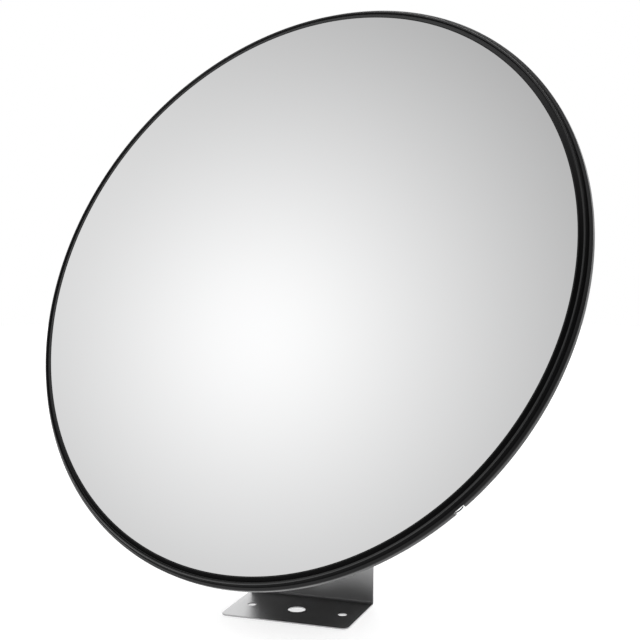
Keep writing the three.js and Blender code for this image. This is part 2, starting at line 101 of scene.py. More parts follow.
def rounded(corners, steps=5):
    """A closed outline from (x, y, radius) corners, each one rounded to its radius."""
    outline = []
    for i, (x, y, radius) in enumerate(corners):
        here = Vector((x, y))
        if radius == 0:
            outline.append(here[:])
            continue
        before = (Vector(corners[i - 1][:2]) - here).normalized()
        after = (Vector(corners[(i + 1) % len(corners)][:2]) - here).normalized()
        half = before.angle(after) / 2
        if half > NEARLY_STRAIGHT:
            outline.append(here[:])
            continue
        middle_way = (before + after).normalized()
        centre = here + middle_way * (radius / math.sin(half))
        start = here + before * (radius / math.tan(half)) - centre
        stop = here + after * (radius / math.tan(half)) - centre
        turn = start.angle_signed(stop)
        for k in range(steps + 1):
            spoke = start.copy()
            spoke.rotate(Matrix.Rotation(-turn * k / steps, 2))
            outline.append((centre + spoke)[:])
    return outline


# ---- meshes ----
ON_AXIS_R = 1e-6
SHARPEST_TURN = 0.2
BEND_SLACK = 1e-4
BEND_STEPS = 10
CURVE_STEPS = 10
THREAD_ROWS = 6
THREAD_DEPTH = 0.6
THREAD_CREST = 0.15
THREAD_CHAMFER = 0.8
HEXAGON_SEGMENTS = 72
HEXAGON_CHAMFER_HEIGHT = 0.55
HEXAGON_CHAMFER_DEPTH = 1.6
BORE_CHAMFER = 0.4


def revolved(profile_at, angles, closed=True, around=True):
    """A surface swept about Z. profile_at(angle) gives its (radius, height) points.
    closed joins the profile's two ends, around joins the first and last angle."""
    mesh = bmesh.new()
    rings = []
    for angle in angles:
        ring = []
        for i, (radius, height) in enumerate(profile_at(angle)):
            if radius < ON_AXIS_R and rings:
                ring.append(rings[0][i])
                continue
            ring.append(mesh.verts.new((radius * math.cos(angle), radius * math.sin(angle), height)))
        rings.append(ring)
    pairs = list(zip(rings, rings[1:]))
    if around:
        pairs.append((rings[-1], rings[0]))
    for first, second in pairs:
        count = len(first) if closed else len(first) - 1
        for i in range(count):
            k = (i + 1) % len(first)
            corners = []
            for vert in (first[i], second[i], second[k], first[k]):
                if vert not in corners:
                    corners.append(vert)
            if len(corners) > 2:
                mesh.faces.new(corners)
    if not around and closed:
        mesh.faces.new(rings[0])
        mesh.faces.new(rings[-1][::-1])
    bmesh.ops.recalc_face_normals(mesh, faces=mesh.faces)
    return mesh


def steps_round(count, start=0.0):
    return [start + FULL_TURN * i / count for i in range(count)]


def lathe(profile, segments, closed=True):
    return revolved(lambda angle: profile, steps_round(segments), closed)


def washer_mesh(inner, outer, low, high, edge=0.2, segments=64):
    corners = [(inner, low, edge), (outer, low, edge), (outer, high, edge), (inner, high, edge)]
    return lathe(rounded(corners, 3), segments)


def inset(loop, amount):
    """The loop moved sideways to its left by amount. SHARPEST_TURN keeps sharp corners from running far."""
    result = []
    for i, point in enumerate(loop):
        here = Vector(point)
        before = here - Vector(loop[i - 1])
        after = Vector(loop[(i + 1) % len(loop)]) - here
        left_before = Vector((-before.y, before.x)).normalized()
        left_after = Vector((-after.y, after.x)).normalized()
        shift = (left_before + left_after) / max(SHARPEST_TURN, 1 + left_before.dot(left_after))
        result.append((here + shift * amount)[:])
    return result


def plate_mesh(outline, holes, thickness, edge=0.25, steps=3):
    """A flat sheet in X and Y, its mid plane at z = 0, with rounded edges.
    outline runs anticlockwise and holes clockwise."""
    mesh = bmesh.new()
    turns = [math.pi / 2 * i / steps for i in range(steps + 1)]
    levels = [(edge * (1 - math.cos(t)), thickness / 2 - edge + edge * math.sin(t)) for t in turns]
    levels = [(amount, -height) for amount, height in reversed(levels)] + levels
    tops, bottoms = [], []
    for loop in [outline, *holes]:
        rings = []
        for amount, height in levels:
            rings.append([mesh.verts.new((x, y, height)) for x, y in inset(loop, amount)])
        for low, high in zip(rings, rings[1:]):
            join_rings(mesh, low, high)
        mesh.edges.ensure_lookup_table()
        for ring, edges in ((rings[0], bottoms), (rings[-1], tops)):
            edges += [mesh.edges.get((ring[i - 1], ring[i])) for i in range(len(ring))]
    for edges in (tops, bottoms):
        bmesh.ops.triangle_fill(mesh, use_beauty=True, edges=edges)
    bmesh.ops.recalc_face_normals(mesh, faces=mesh.faces)
    return mesh


def bent(mesh, start, heading, moves):
    """Bends a flat sheet along its Y. The path starts at start in a plane (p, q), heading a way in degrees.
    moves are straight lengths and (angle, mid radius) turns. X stays as it is.
    Returns the mesh with (x, p, q) vertices."""
    stations = []
    along = 0.0
    point = Vector(start)
    turn = math.radians(heading)
    for move in moves:
        if isinstance(move, tuple):
            angle, radius = math.radians(move[0]), move[1]
            length = abs(angle) * radius
            bends = angle / length
        else:
            length, bends = move, 0.0
        stations.append((along, length, point.copy(), turn, bends))
        if bends:
            hub = point + Vector((-math.sin(turn), math.cos(turn))) / bends
            turn += bends * length
            point = hub - Vector((-math.sin(turn), math.cos(turn))) / bends
            for i in range(BEND_STEPS + 1):
                cut_y = along + length * i / BEND_STEPS
                everything = mesh.verts[:] + mesh.edges[:] + mesh.faces[:]
                bmesh.ops.bisect_plane(mesh, geom=everything, plane_co=(0, cut_y, 0), plane_no=(0, 1, 0))
        else:
            point += Vector((math.cos(turn), math.sin(turn))) * length
        along += length
    for vert in mesh.verts:
        x, y, z = vert.co
        station = [s for s in stations if s[0] <= y + BEND_SLACK] or stations[:1]
        begin, length, origin, turn, bends = station[-1]
        run = y - begin
        if bends:
            hub = origin + Vector((-math.sin(turn), math.cos(turn))) / bends
            turn += bends * run
            spot = hub - Vector((-math.sin(turn), math.cos(turn))) / bends
        else:
            spot = origin + Vector((math.cos(turn), math.sin(turn))) * run
        spot += Vector((-math.sin(turn), math.cos(turn))) * z
        vert.co = (x, spot.x, spot.y)
    bmesh.ops.recalc_face_normals(mesh, faces=mesh.faces)
    return mesh


def transformed(mesh, matrix):
    bmesh.ops.transform(mesh, matrix=matrix, verts=mesh.verts)
    if matrix.determinant() < 0:
        bmesh.ops.reverse_faces(mesh, faces=mesh.faces)
    return mesh


def together(*meshes):
    """One mesh that holds all of the given ones."""
    whole = bmesh.new()
    for mesh in meshes:
        data = bpy.data.meshes.new("part")
        mesh.to_mesh(data)
        mesh.free()
        whole.from_mesh(data)
        bpy.data.meshes.remove(data)
    return whole


def thread_mesh(radius, pitch, low, high, segments=32, plain_to=None):
    """A rod with a screw thread from low to plain_to, and a chamfer at its low end.
    The thread's depth, crest and chamfer are parts of its pitch."""
    mesh = bmesh.new()
    count = max(2, round((high - low) / (pitch / THREAD_ROWS)))
    rings = []
    for k in range(count + 1):
        height = low + (high - low) * k / count
        chamfer = max(0.0, pitch * THREAD_CHAMFER - (height - low))
        ring = []
        for i in range(segments):
            phase = (height / pitch - i / segments) % 1
            groove = THREAD_DEPTH * pitch * max(0.0, abs(2 * phase - 1) - THREAD_CREST)
            if plain_to is not None and height > plain_to:
                groove = 0.0
            r = radius - max(groove, chamfer)
            angle = FULL_TURN * i / segments
            ring.append(mesh.verts.new((r * math.cos(angle), r * math.sin(angle), height)))
        rings.append(ring)
    for first, second in zip(rings, rings[1:]):
        join_rings(mesh, first, second)
    mesh.faces.new(rings[0][::-1])
    mesh.faces.new(rings[-1])
    return mesh


def join_rings(mesh, first, second):
    for i in range(len(first)):
        k = (i + 1) % len(first)
        mesh.faces.new((first[i], first[k], second[k], second[i]))


def hexagon_mesh(across, low, high, chamfer, bore=0.0):
    """A hexagon head or nut with chamfered corners at both faces, with a bore if it is not 0."""
    corner = across / math.sqrt(3)
    slope = chamfer * HEXAGON_CHAMFER_HEIGHT
    heights = [(low, chamfer), (low + slope, 0), (high - slope, 0), (high, chamfer)]

    def profile_at(angle):
        flat = (across / 2) / math.cos((angle + math.pi / 6) % (math.pi / 3) - math.pi / 6)
        outside = [(min(flat, corner - cut * HEXAGON_CHAMFER_DEPTH), height) for height, cut in heights]
        if bore:
            return outside + [(bore, high - BORE_CHAMFER), (bore, low + BORE_CHAMFER)]
        return [(0, low)] + outside + [(0, high)]

    return revolved(profile_at, steps_round(HEXAGON_SEGMENTS), closed=bool(bore))


def remeshed(mesh, name, voxel, smoothing):
    """Melts a mesh's overlapping parts into one cast-looking solid."""
    data = bpy.data.meshes.new(name)
    mesh.to_mesh(data)
    mesh.free()
    rough = bpy.data.objects.new(name + "_rough", data)
    bpy.context.scene.collection.objects.link(rough)
    remesh = rough.modifiers.new("remesh", "REMESH")
    remesh.mode = "VOXEL"
    remesh.voxel_size = voxel
    smooth = rough.modifiers.new("smooth", "SMOOTH")
    smooth.iterations = smoothing
    smooth.factor = 0.5
    graph = bpy.context.evaluated_depsgraph_get()
    made = bmesh.new()
    made.from_object(rough, graph)
    bpy.data.objects.remove(rough)
    bpy.data.meshes.remove(data)
    return made


def add_piece(name, mesh, its_place, material, body, node, sharp=35, even=False):
    """Makes the finished object, in metres, and ties it to the frame. even keeps flat faces flat
    beside rounded edges."""
    data = bpy.data.meshes.new(name)
    mesh.to_mesh(data)
    mesh.free()
    data.transform(its_place)
    for each in material if isinstance(material, tuple) else (material,):
        data.materials.append(each)
    data.shade_smooth()
    data.set_sharp_from_angle(angle=math.radians(sharp))
    piece = bpy.data.objects.new(name, data)
    bpy.context.scene.collection.objects.link(piece)
    if even:
        weighted = piece.modifiers.new("even_shading", "WEIGHTED_NORMAL")
        weighted.keep_sharp = True
        weighted.weight = 100
    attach(piece, body)
    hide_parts(node)


# ---- materials ----
class Nodes:
    """A node tree, with short calls to add nodes and join them."""

    def __init__(self, tree):
        self.tree = tree

    def add(self, kind, inputs=None, **settings):
        node = self.tree.nodes.new(kind)
        for key, value in settings.items():
            setattr(node, key, value)
        for key, value in (inputs or {}).items():
            self.feed(node.inputs[key], value)
        return node

    def feed(self, socket, value):
        if isinstance(value, bpy.types.NodeSocket):
            self.tree.links.new(value, socket)
        else:
            socket.default_value = value

    def math(self, operation, *values):
        node = self.add("ShaderNodeMath", operation=operation)
        for socket, value in zip(node.inputs, values):
            self.feed(socket, value)
        return node.outputs[0]

    def vector(self, operation, *values):
        node = self.add("ShaderNodeVectorMath", operation=operation)
        for socket, value in zip(node.inputs, values):
            self.feed(socket, value)
        return node.outputs["Value" if operation in ("DOT_PRODUCT", "DISTANCE", "LENGTH") else "Vector"]

    def ramp(self, value, from_low, from_high, to_low=0.0, to_high=1.0, kind="LINEAR"):
        inputs = {"Value": value, "From Min": from_low, "From Max": from_high}
        inputs.update({"To Min": to_low, "To Max": to_high})
        return self.add("ShaderNodeMapRange", inputs, interpolation_type=kind).outputs[0]

    def mix(self, factor, first, second):
        node = self.add("ShaderNodeMix", data_type="FLOAT")
        for socket, value in zip(node.inputs, (factor, None, first, second)):
            if value is not None:
                self.feed(socket, value)
        return node.outputs[0]


class Shader(Nodes):
    """A material of one principled shader."""

    def __init__(self, name, colour, roughness, metallic=0.0):
        self.material = bpy.data.materials.new(name)
        self.material.use_nodes = True
        super().__init__(self.material.node_tree)
        self.surface = self.tree.nodes["Principled BSDF"]
        self.coordinates = self.add("ShaderNodeTexCoord")
        self.object_space = self.coordinates.outputs["Object"]
        self.set("Base Color", (*colour, 1))
        self.set("Roughness", roughness)
        self.set("Metallic", metallic)

    def set(self, name, value):
        self.feed(self.surface.inputs[name], value)

    def noise(self, scale, detail=3.0, roughness=0.5, stretch=(1, 1, 1)):
        """Noise over the piece; scale is in cycles a metre."""
        mapping = self.add("ShaderNodeMapping", {"Vector": self.object_space, "Scale": stretch})
        inputs = {"Vector": mapping.outputs[0], "Scale": scale, "Detail": detail, "Roughness": roughness}
        return self.add("ShaderNodeTexNoise", inputs).outputs["Fac"]

    def spread(self, value, low, high, from_low=0.3, from_high=0.7):
        """Noise, which keeps mostly between 0.3 and 0.7, spread from low to high."""
        return self.ramp(value, from_low, from_high, low, high)

    def blend(self, factor, first, second):
        node = self.add("ShaderNodeMix", data_type="RGBA")
        self.feed(node.inputs[0], factor)
        self.feed(node.inputs[6], (*first, 1) if isinstance(first, tuple) else first)
        self.feed(node.inputs[7], (*second, 1) if isinstance(second, tuple) else second)
        return node.outputs[2]

    def bump(self, height, depth):
        """Bump of that depth in millimetres."""
        inputs = {"Height": height, "Strength": 1.0, "Distance": depth * MM}
        return self.add("ShaderNodeBump", inputs).outputs[0]


def mirror_material():
    shader = Shader("silvered_acrylic", (0.955, 0.957, 0.96), 0.012, 1.0)
    haze = shader.noise(scale=9, detail=4)
    shader.set("Roughness", shader.spread(haze, 0.008, 0.02))
    return shader.material


def steel_material(name, colour, rough_low, rough_high, grain, depth=0.001):
    """Rolled sheet: fine streaks along the directions where grain is small, and a slow cloudiness.
    depth is the streaks', in millimetres."""
    shader = Shader(name, colour, rough_low, metallic=1.0)
    cloud = shader.noise(scale=22)
    streaks = shader.noise(scale=900, detail=4, roughness=0.6, stretch=grain)
    tint = tuple(c * 0.93 for c in colour)
    shader.set("Base Color", shader.blend(shader.spread(cloud, 0, 1), tint, colour))
    both = shader.math("ADD", shader.spread(cloud, 0, 0.4), shader.spread(streaks, 0, 0.6))
    shader.set("Roughness", shader.spread(both, rough_low, rough_high, 0, 1))
    shader.set("Normal", shader.bump(streaks, depth))
    return shader.material


# A painted sheen: the rubber is lighter where it faces up and to the left, towards the light.
SHEEN_SIDE = (-0.5, 0.0, 0.866)


def rubber_material(name, deep, bloomed, rough_low, rough_high, specular, painted_sheen=None, sheen_span=(0.25, 0.75)):
    """Extruded black rubber with a fine grain and a faint bloom. The sheen colour, if given, is a painted sheen, a
    lighter colour where the rubber faces up and to the left, towards the light; the span after it says from which
    cosine it starts and where it is full."""
    shader = Shader(name, deep, rough_low)
    shader.set("Specular IOR Level", specular)
    grain = shader.noise(scale=2600, roughness=0.6)
    bloom = shader.noise(scale=45)
    colour = shader.blend(shader.spread(bloom, 0, 1), deep, bloomed)
    if painted_sheen:
        # Painted sheen: the colour turns lighter where the face turns up and to the left, towards the light.
        facing_sheen = shader.vector("DOT_PRODUCT", shader.coordinates.outputs["Normal"], SHEEN_SIDE)
        colour = shader.blend(shader.ramp(facing_sheen, *sheen_span, kind="SMOOTHSTEP"), colour, painted_sheen)
    shader.set("Base Color", colour)
    shader.set("Roughness", shader.spread(bloom, rough_low, rough_high))
    shader.set("Normal", shader.bump(grain, depth=0.012))
    return shader.material


def shell_material():
    shader = Shader("black_moulded_plastic", (0.012, 0.012, 0.013), 0.5)
    shader.set("Specular IOR Level", 0.22)
    pebble = shader.noise(scale=1500, detail=2)
    cloud = shader.noise(scale=20)
    dark, pale = (0.01, 0.01, 0.0105), (0.016, 0.016, 0.017)
    shader.set("Base Color", shader.blend(shader.spread(cloud, 0, 1), dark, pale))
    shader.set("Roughness", shader.spread(pebble, 0.42, 0.6))
    shader.set("Normal", shader.bump(pebble, depth=0.05))
    return shader.material


def nylon_material():
    shader = Shader("natural_nylon", (0.72, 0.69, 0.62), 0.42)
    cloud = shader.noise(scale=160)
    dark, pale = (0.66, 0.63, 0.56), (0.76, 0.74, 0.68)
    shader.set("Base Color", shader.blend(shader.spread(cloud, 0, 1), dark, pale))
    shader.set("Subsurface Weight", 0.15)
    shader.set("Subsurface Scale", 0.001)
    return shader.material


def foam_material():
    shader = Shader("closed_cell_foam", (0.03, 0.03, 0.031), 0.9)
    voronoi = shader.add("ShaderNodeTexVoronoi", {"Vector": shader.object_space, "Scale": 2200.0})
    cells = voronoi.outputs["Distance"]
    dark, pale = (0.022, 0.022, 0.023), (0.045, 0.045, 0.046)
    shader.set("Base Color", shader.blend(shader.spread(cells, 0, 1), dark, pale))
    shader.set("Normal", shader.bump(cells, depth=0.15))
    return shader.material


MIRROR = mirror_material()
BRACKET_STEEL = steel_material("satin_sheet_steel", (0.33, 0.33, 0.333), 0.35, 0.42, grain=(1, 0.04, 0.04))
# Painted highlight: the steel in the bends is lighter than the sheet, standing in for the light lines along the
# bends. It is also rougher, as bent sheet is.
BEND_STEEL_PAINTED_HIGHLIGHT = steel_material("satin_sheet_steel_at_bends_painted_highlight", (0.38, 0.38, 0.383), 0.6, 0.7, grain=(0.1, 1, 1))
ZINC = steel_material("bright_zinc_steel", (0.6, 0.61, 0.63), 0.22, 0.34, grain=(1, 1, 1), depth=0.0003)
WIRE = steel_material("blackened_wire", (0.03, 0.03, 0.031), 0.3, 0.45, grain=(1, 1, 1))
RUBBER = rubber_material("black_edge_rubber", (0.005, 0.005, 0.0054), (0.007, 0.007, 0.0075),
                         rough_low=0.34, rough_high=0.44, specular=0.34)
# The dull and satin rubbers carry a painted sheen where they face up and to the left.
DULL_RUBBER = rubber_material("black_edge_rubber_dull", (0.002, 0.002, 0.0021), (0.003, 0.003, 0.0032),
                              rough_low=0.6, rough_high=0.7, specular=0.06, painted_sheen=(0.08, 0.08, 0.081))
SATIN_RUBBER = rubber_material("black_edge_rubber_satin", (0.004, 0.004, 0.0042), (0.006, 0.006, 0.0063),
                               rough_low=0.45, rough_high=0.55, specular=0.2,
                               painted_sheen=(0.06, 0.06, 0.061), sheen_span=(-0.15, 0.4))
SHINY_RUBBER = rubber_material("black_edge_rubber_shiny", (0.005, 0.005, 0.0054), (0.008, 0.008, 0.0085),
                               rough_low=0.28, rough_high=0.36, specular=0.5)
SHELL = shell_material()
NYLON = nylon_material()
FOAM = foam_material()

# ---- bracket ----
SHEET = 1.2
BEND_MID_R = 2.6
FOOT_CORNER = 5.4
UPRIGHT_FRONT_Y = 13.0
SHOULDER_HEIGHT = 110.0
SHOULDER_CURVE = 14.0
SLOPE_HEIGHT = 142.0
SLOPE_IN = 10.0
NECK_HEIGHT = 176.0
TAB_HALF = 20.0
PAN_BORE_R = 4.3
HOLE_RADII = {"centre_screw_hole": 6.5, "left_screw_hole": 3.25, "right_screw_hole": 3.25}


def hole_centre(name):
    """The middle of one of the record's openings, in millimetres."""
    opening = next(o for o in frame["record"]["physics"]["openings"] if o["name"] == name)
    return (Vector(opening["box_m"][0]) + Vector(opening["box_m"][1])) / 2 / MM


def bracket_outline(half, foot, rise, top):
    """The bracket's outline before it is bent. half is half of its width, foot the foot's length up to
    the bend, rise what is added to a height on the upright, and top its whole length."""
    outline = arc(-half + FOOT_CORNER, FOOT_CORNER, FOOT_CORNER, 180, 270, 8)
    outline += arc(half - FOOT_CORNER, FOOT_CORNER, FOOT_CORNER, 270, 360, 8)
    outline += [(half, foot)]
    slope = (half - SLOPE_IN, rise + SLOPE_HEIGHT)
    start = (half, rise + SHOULDER_HEIGHT)
    neck = (TAB_HALF, rise + NECK_HEIGHT)
    right = [start]
    right += curve(start, (half - 1, rise + SHOULDER_HEIGHT + SHOULDER_CURVE), slope)
    right += curve(slope, (TAB_HALF, rise + NECK_HEIGHT - SHOULDER_CURVE), neck)
    right += [(TAB_HALF, top - TAB_HALF)]
    outline += right
    outline += arc(0, top - TAB_HALF, TAB_HALF, 0, 180, 32)[1:]
    outline += [(-x, y) for x, y in reversed(right[:-1])]
    return outline + [(-half, foot)]


def build_bracket():
    low, high = span("bracket", BRACKET)
    back = UPRIGHT_FRONT_Y + SHEET
    outer = BEND_MID_R + SHEET / 2
    foot = back - outer - low.y
    bend = BEND_MID_R * math.pi / 2
    upright = high.z - 2 * outer
    tab = high.y - (back - SHEET + outer)
    top = foot + 2 * bend + upright + tab
    holes = [circle(0, top - (high.y - pan_pivot.y / MM), PAN_BORE_R, 40, clockwise=True)]
    for name, radius in HOLE_RADII.items():
        centre = hole_centre(name)
        holes.append(circle(centre.x, centre.y - low.y, radius, 64, clockwise=True))
    flat = plate_mesh(bracket_outline(high.x, foot, foot + bend - outer, top), holes, SHEET, 0.2)
    moves = [foot, (90, BEND_MID_R), upright, (-90, BEND_MID_R), tab]
    mesh = bent(flat, (low.y, SHEET / 2), 0, moves)
    # The faces in both bends take the lighter, rougher steel with its painted highlight.
    for face in mesh.faces:
        centre = face.calc_center_median()
        in_foot_bend = centre.z < outer and centre.y > back - outer
        in_tab_bend = centre.z > high.z - outer and centre.y < back - SHEET + outer
        face.material_index = int(in_foot_bend or in_tab_bend)
    finishes = (BRACKET_STEEL, BEND_STEEL_PAINTED_HIGHLIGHT)
    add_piece("bent_bracket", mesh, BRACKET, finishes, "bracket", "bracket", even=True)


def curve(start, control, stop):
    """Points of a quadratic curve after its start."""
    points = []
    for i in range(1, CURVE_STEPS + 1):
        t = i / CURVE_STEPS
        a, b, c = (1 - t) ** 2, 2 * t * (1 - t), t * t
        points.append(tuple(a * start[n] + b * control[n] + c * stop[n] for n in (0, 1)))
    return points


# ---- mirror head ----
RIM_SEGMENTS = 480
DOME_EDGE_R = 221.2
DOME_EDGE_DROP = 0.2
DOME_THICK = 2.0
DOME_FILLET = 0.4
DOME_FILLET_IN = 0.05
FLANGE_THICK = 1.8
GASKET_INNER_R = 220.0


def cap_arc(ball, centre, edge_r, steps, from_axis):
    """Points of a ball-shaped cap between its edge and the axis."""
    edge = math.asin(edge_r / ball)
    parts = [i / steps if from_axis else 1 - i / steps for i in range(steps + 1)]
    return [(ball * math.sin(edge * t) if t else 0.0, centre + ball * math.cos(edge * t)) for t in parts]


def build_dome():
    low, high = span("mirror_dome", HEAD)
    rise = high.z - (span("edge_trim", HEAD)[1].z - DOME_EDGE_DROP)
    ball = (DOME_EDGE_R ** 2 + rise ** 2) / (2 * rise)
    centre = high.z - ball
    inner_r = DOME_EDGE_R - DOME_THICK
    flange_top = low.z + FLANGE_THICK
    profile = cap_arc(ball - DOME_THICK, centre, inner_r, 20, True)
    profile += [(inner_r, low.z), (high.x, low.z), (high.x, flange_top)]
    profile += [(DOME_EDGE_R + DOME_FILLET, flange_top)]
    profile += [(DOME_EDGE_R + DOME_FILLET_IN, flange_top + DOME_FILLET)]
    profile += cap_arc(ball, centre, DOME_EDGE_R, 60, False)
    mesh = lathe(profile, RIM_SEGMENTS, closed=False)
    add_piece("convex_mirror_sheet", mesh, HEAD, MIRROR, "head", "mirror_dome", sharp=30)


# The trim's section from the slot's mouth round the outside: radius, height over the front edge, rounding.
TRIM_INNER_R = 221.5
TRIM_SLOT_R = 225.7
TRIM_OUTER_R = 230.34
TRIM_SECTION = [
    (TRIM_INNER_R, -4.6, 0.3), (TRIM_INNER_R, -0.05, 0.35), (222.2, -0.2, 0.5), (225.2, -1.9, 0.4),
    (225.8, -0.1, 0.45), (226.8, -0.1, 0.7), (227.8, -2.9, 0.5), (228.5, -3.4, 0.4),
    (TRIM_OUTER_R, -5.0, 1.0), (TRIM_OUTER_R, -8.7, 2.0), (227.8, -12.4, 1.3), (TRIM_INNER_R, -12.4, 0.6),
    (TRIM_INNER_R, -10.6, 0.3), (TRIM_SLOT_R, -10.6, 0.2), (TRIM_SLOT_R, -4.6, 0.2),
]
TRIM_FINISHES = (RUBBER, DULL_RUBBER, SHINY_RUBBER, SATIN_RUBBER)
DULL, SHINY, SATIN = 1, 2, 3
# Finishes of the trim's front, from one radius to another: the lip's slope, the ridge, the groove and the
# outer bead. They reach down to FRONT_DEPTH.
FRONT_BANDS = ((222.1, 225.25, DULL), (225.25, 227.15, SHINY), (227.15, 228.4, DULL), (228.4, 230.3, SATIN))
FRONT_DEPTH = 4.45
# The back of the outer bead is dull outside REAR_R and below REAR_DEPTH.
REAR_DEPTH = 8.4
REAR_R = 228.0
# The trim's two ends meet at a thin seam, in a notch that is cut slanting across the outer back corner.
SEAM_HALF = 0.04
NOTCH_HALF = 3.9
NOTCH_WALL_HALF = 0.02
NOTCH_SLANT = math.radians(38)
NOTCH_FLOOR = 184.3


def finish_trim(mesh, rim):
    """Sets each face's finish: the sides and the inside stay plain."""
    for face in mesh.faces:
        centre = face.calc_center_median()
        depth = rim - centre.z
        radius = centre.xy.length
        if depth > REAR_DEPTH and radius > REAR_R:
            face.material_index = DULL
        if depth > FRONT_DEPTH:
            continue
        for low, high, finish in FRONT_BANDS:
            if low < radius <= high:
                face.material_index = finish


def joint_angle():
    """Where the trim's two ends meet, from the staple that ties them."""
    spot = HEAD.inverted() @ middle("trim_staple")
    return math.atan2(spot.y, spot.x)


def build_trim():
    rim = span("edge_trim", HEAD)[1].z
    profile = [(r, rim + z) for r, z in rounded(TRIM_SECTION, 5)]
    across, back = math.cos(NOTCH_SLANT), math.sin(NOTCH_SLANT)

    def notched(points):
        cut = []
        for r, z in points:
            over = max(0.0, r * across - (z - rim) * back - NOTCH_FLOOR)
            cut.append((r - over * across, z + over * back))
        return cut

    joint = joint_angle()
    radius = profile[0][0]
    seam, notch, wall = SEAM_HALF / radius, NOTCH_HALF / radius, NOTCH_WALL_HALF / radius
    first, last = notch + wall, FULL_TURN - notch - wall
    count = RIM_SEGMENTS - 8
    angles = [seam, notch - wall]
    angles += [first + (last - first) * i / count for i in range(count)]
    angles += [last, last + 2 * wall, FULL_TURN - seam]
    angles = [joint + a for a in angles]

    def profile_at(angle):
        turn = (angle - joint) % FULL_TURN
        in_notch = min(turn, FULL_TURN - turn) < notch
        return notched(profile) if in_notch else profile

    mesh = revolved(profile_at, angles, closed=True, around=False)
    finish_trim(mesh, rim)
    add_piece("rubber_edge_trim", mesh, HEAD, TRIM_FINISHES, "head", "edge_trim", sharp=50)


NOT_ALONG_TUBE = Vector((0.3, 0.2, 0.93))
END_NARROWING = 0.55
WIRE_R = 0.45
STAPLE_STEPS = 16
STAPLE_BOW = 1.1


def tube_mesh(points, radius, sides=12):
    """A round bar along points, narrower at its two ends."""
    mesh = bmesh.new()
    rings = []
    final = len(points) - 1
    for i, point in enumerate(points):
        ahead = (points[min(i + 1, final)] - points[max(i - 1, 0)]).normalized()
        across = ahead.cross(NOT_ALONG_TUBE).normalized()
        other = ahead.cross(across)
        r = radius * (END_NARROWING if i in (0, final) else 1.0)
        spokes = [(across * math.cos(t) + other * math.sin(t)) * r for t in steps_round(sides)]
        rings.append([mesh.verts.new(point + spoke) for spoke in spokes])
    for first, second in zip(rings, rings[1:]):
        join_rings(mesh, first, second)
    mesh.faces.new(rings[0][::-1])
    mesh.faces.new(rings[-1])
    bmesh.ops.recalc_face_normals(mesh, faces=mesh.faces)
    return mesh


def build_staple():
    turned = HEAD @ Matrix.Rotation(joint_angle(), 4, "Z")
    low, high = span("trim_staple", turned)
    half = high.y - WIRE_R
    centre = (low + high) / 2
    slope = Vector((math.cos(NOTCH_SLANT), 0, -math.sin(NOTCH_SLANT)))
    points = []
    for i in range(STAPLE_STEPS + 1):
        t = -1 + 2 * i / STAPLE_STEPS
        bow = slope * (0.5 * (1 - t * t) - 0.25) * STAPLE_BOW
        points.append(Vector((centre.x, half * t, centre.z)) + bow)
    mesh = tube_mesh(points, WIRE_R)
    add_piece("trim_wire_staple", mesh, turned, WIRE, "head", "trim_staple")


SHELL_THICK = 2.0
SHELL_HUB_R = 46.0
SHELL_SIDE_R = 206.0
SHELL_SIDE_WIDTH = 10
SHELL_SLOPE = 4
SHELL_STEPS = 90
SHELL_SEGMENTS = 720
PANEL_COUNT = 12
PANEL_SINK = 1.1
PANEL_INNER_R = 56
PANEL_OUTER_R = 194
PANEL_SLOPE = 5
RING_RIB_R = 128
RING_RIB_HALF = 3.2
SPOKE_RIB_HALF = 2.6
RIB_SLOPE = 3


def sunk(radius, angle):
    """How far the shell's outer face is sunk at a place, between 0 and 1."""
    inner = smooth_step((radius - PANEL_INNER_R) / PANEL_SLOPE)
    outer = smooth_step((PANEL_OUTER_R - radius) / PANEL_SLOPE)
    ring = smooth_step((abs(radius - RING_RIB_R) - RING_RIB_HALF) / RIB_SLOPE)
    turn = (angle / FULL_TURN * PANEL_COUNT) % 1
    from_rib = min(turn, 1 - turn) / PANEL_COUNT * FULL_TURN * radius
    spoke = smooth_step((from_rib - SPOKE_RIB_HALF) / RIB_SLOPE)
    return inner * outer * ring * spoke


def build_shell():
    """A shallow moulded dish with ribs standing between sunk panels on its back."""
    low, high = span("back_shell", HEAD)
    back, flange = low.z, high.z - FLANGE_THICK
    side_z = back + SHELL_SLOPE
    width = SHELL_SIDE_R - SHELL_HUB_R
    radii = [SHELL_HUB_R + width * i / SHELL_STEPS for i in range(SHELL_STEPS + 1)]

    def profile_at(angle):
        outside = [(0.0, back), (SHELL_HUB_R * 0.5, back)]
        for r in radii:
            outside.append((r, back + SHELL_SLOPE * (r - SHELL_HUB_R) / width + PANEL_SINK * sunk(r, angle)))
        outside += s_curve((SHELL_SIDE_R, side_z), (SHELL_SIDE_R + SHELL_SIDE_WIDTH, flange))
        lip = [(high.x, flange), (high.x, high.z), (SHELL_SIDE_R + SHELL_SIDE_WIDTH - 1, high.z)]
        inside = [(SHELL_SIDE_R - 1, side_z + SHELL_THICK), (SHELL_HUB_R, back + SHELL_THICK)]
        return outside + lip + inside + [(0.0, back + SHELL_THICK)]

    mesh = revolved(profile_at, steps_round(SHELL_SEGMENTS), closed=False)
    add_piece("moulded_back_shell", mesh, HEAD, SHELL, "head", "back_shell", sharp=40)


def smooth_step(t):
    t = max(0.0, min(1.0, t))
    return t * t * (3 - 2 * t)


def s_curve(start, stop):
    """Points after start of a shallow S from start to stop."""
    points = []
    for i in range(1, CURVE_STEPS + 1):
        t = i / CURVE_STEPS
        x = start[0] + (stop[0] - start[0]) * t
        points.append((x, start[1] + (stop[1] - start[1]) * smooth_step(t)))
    return points


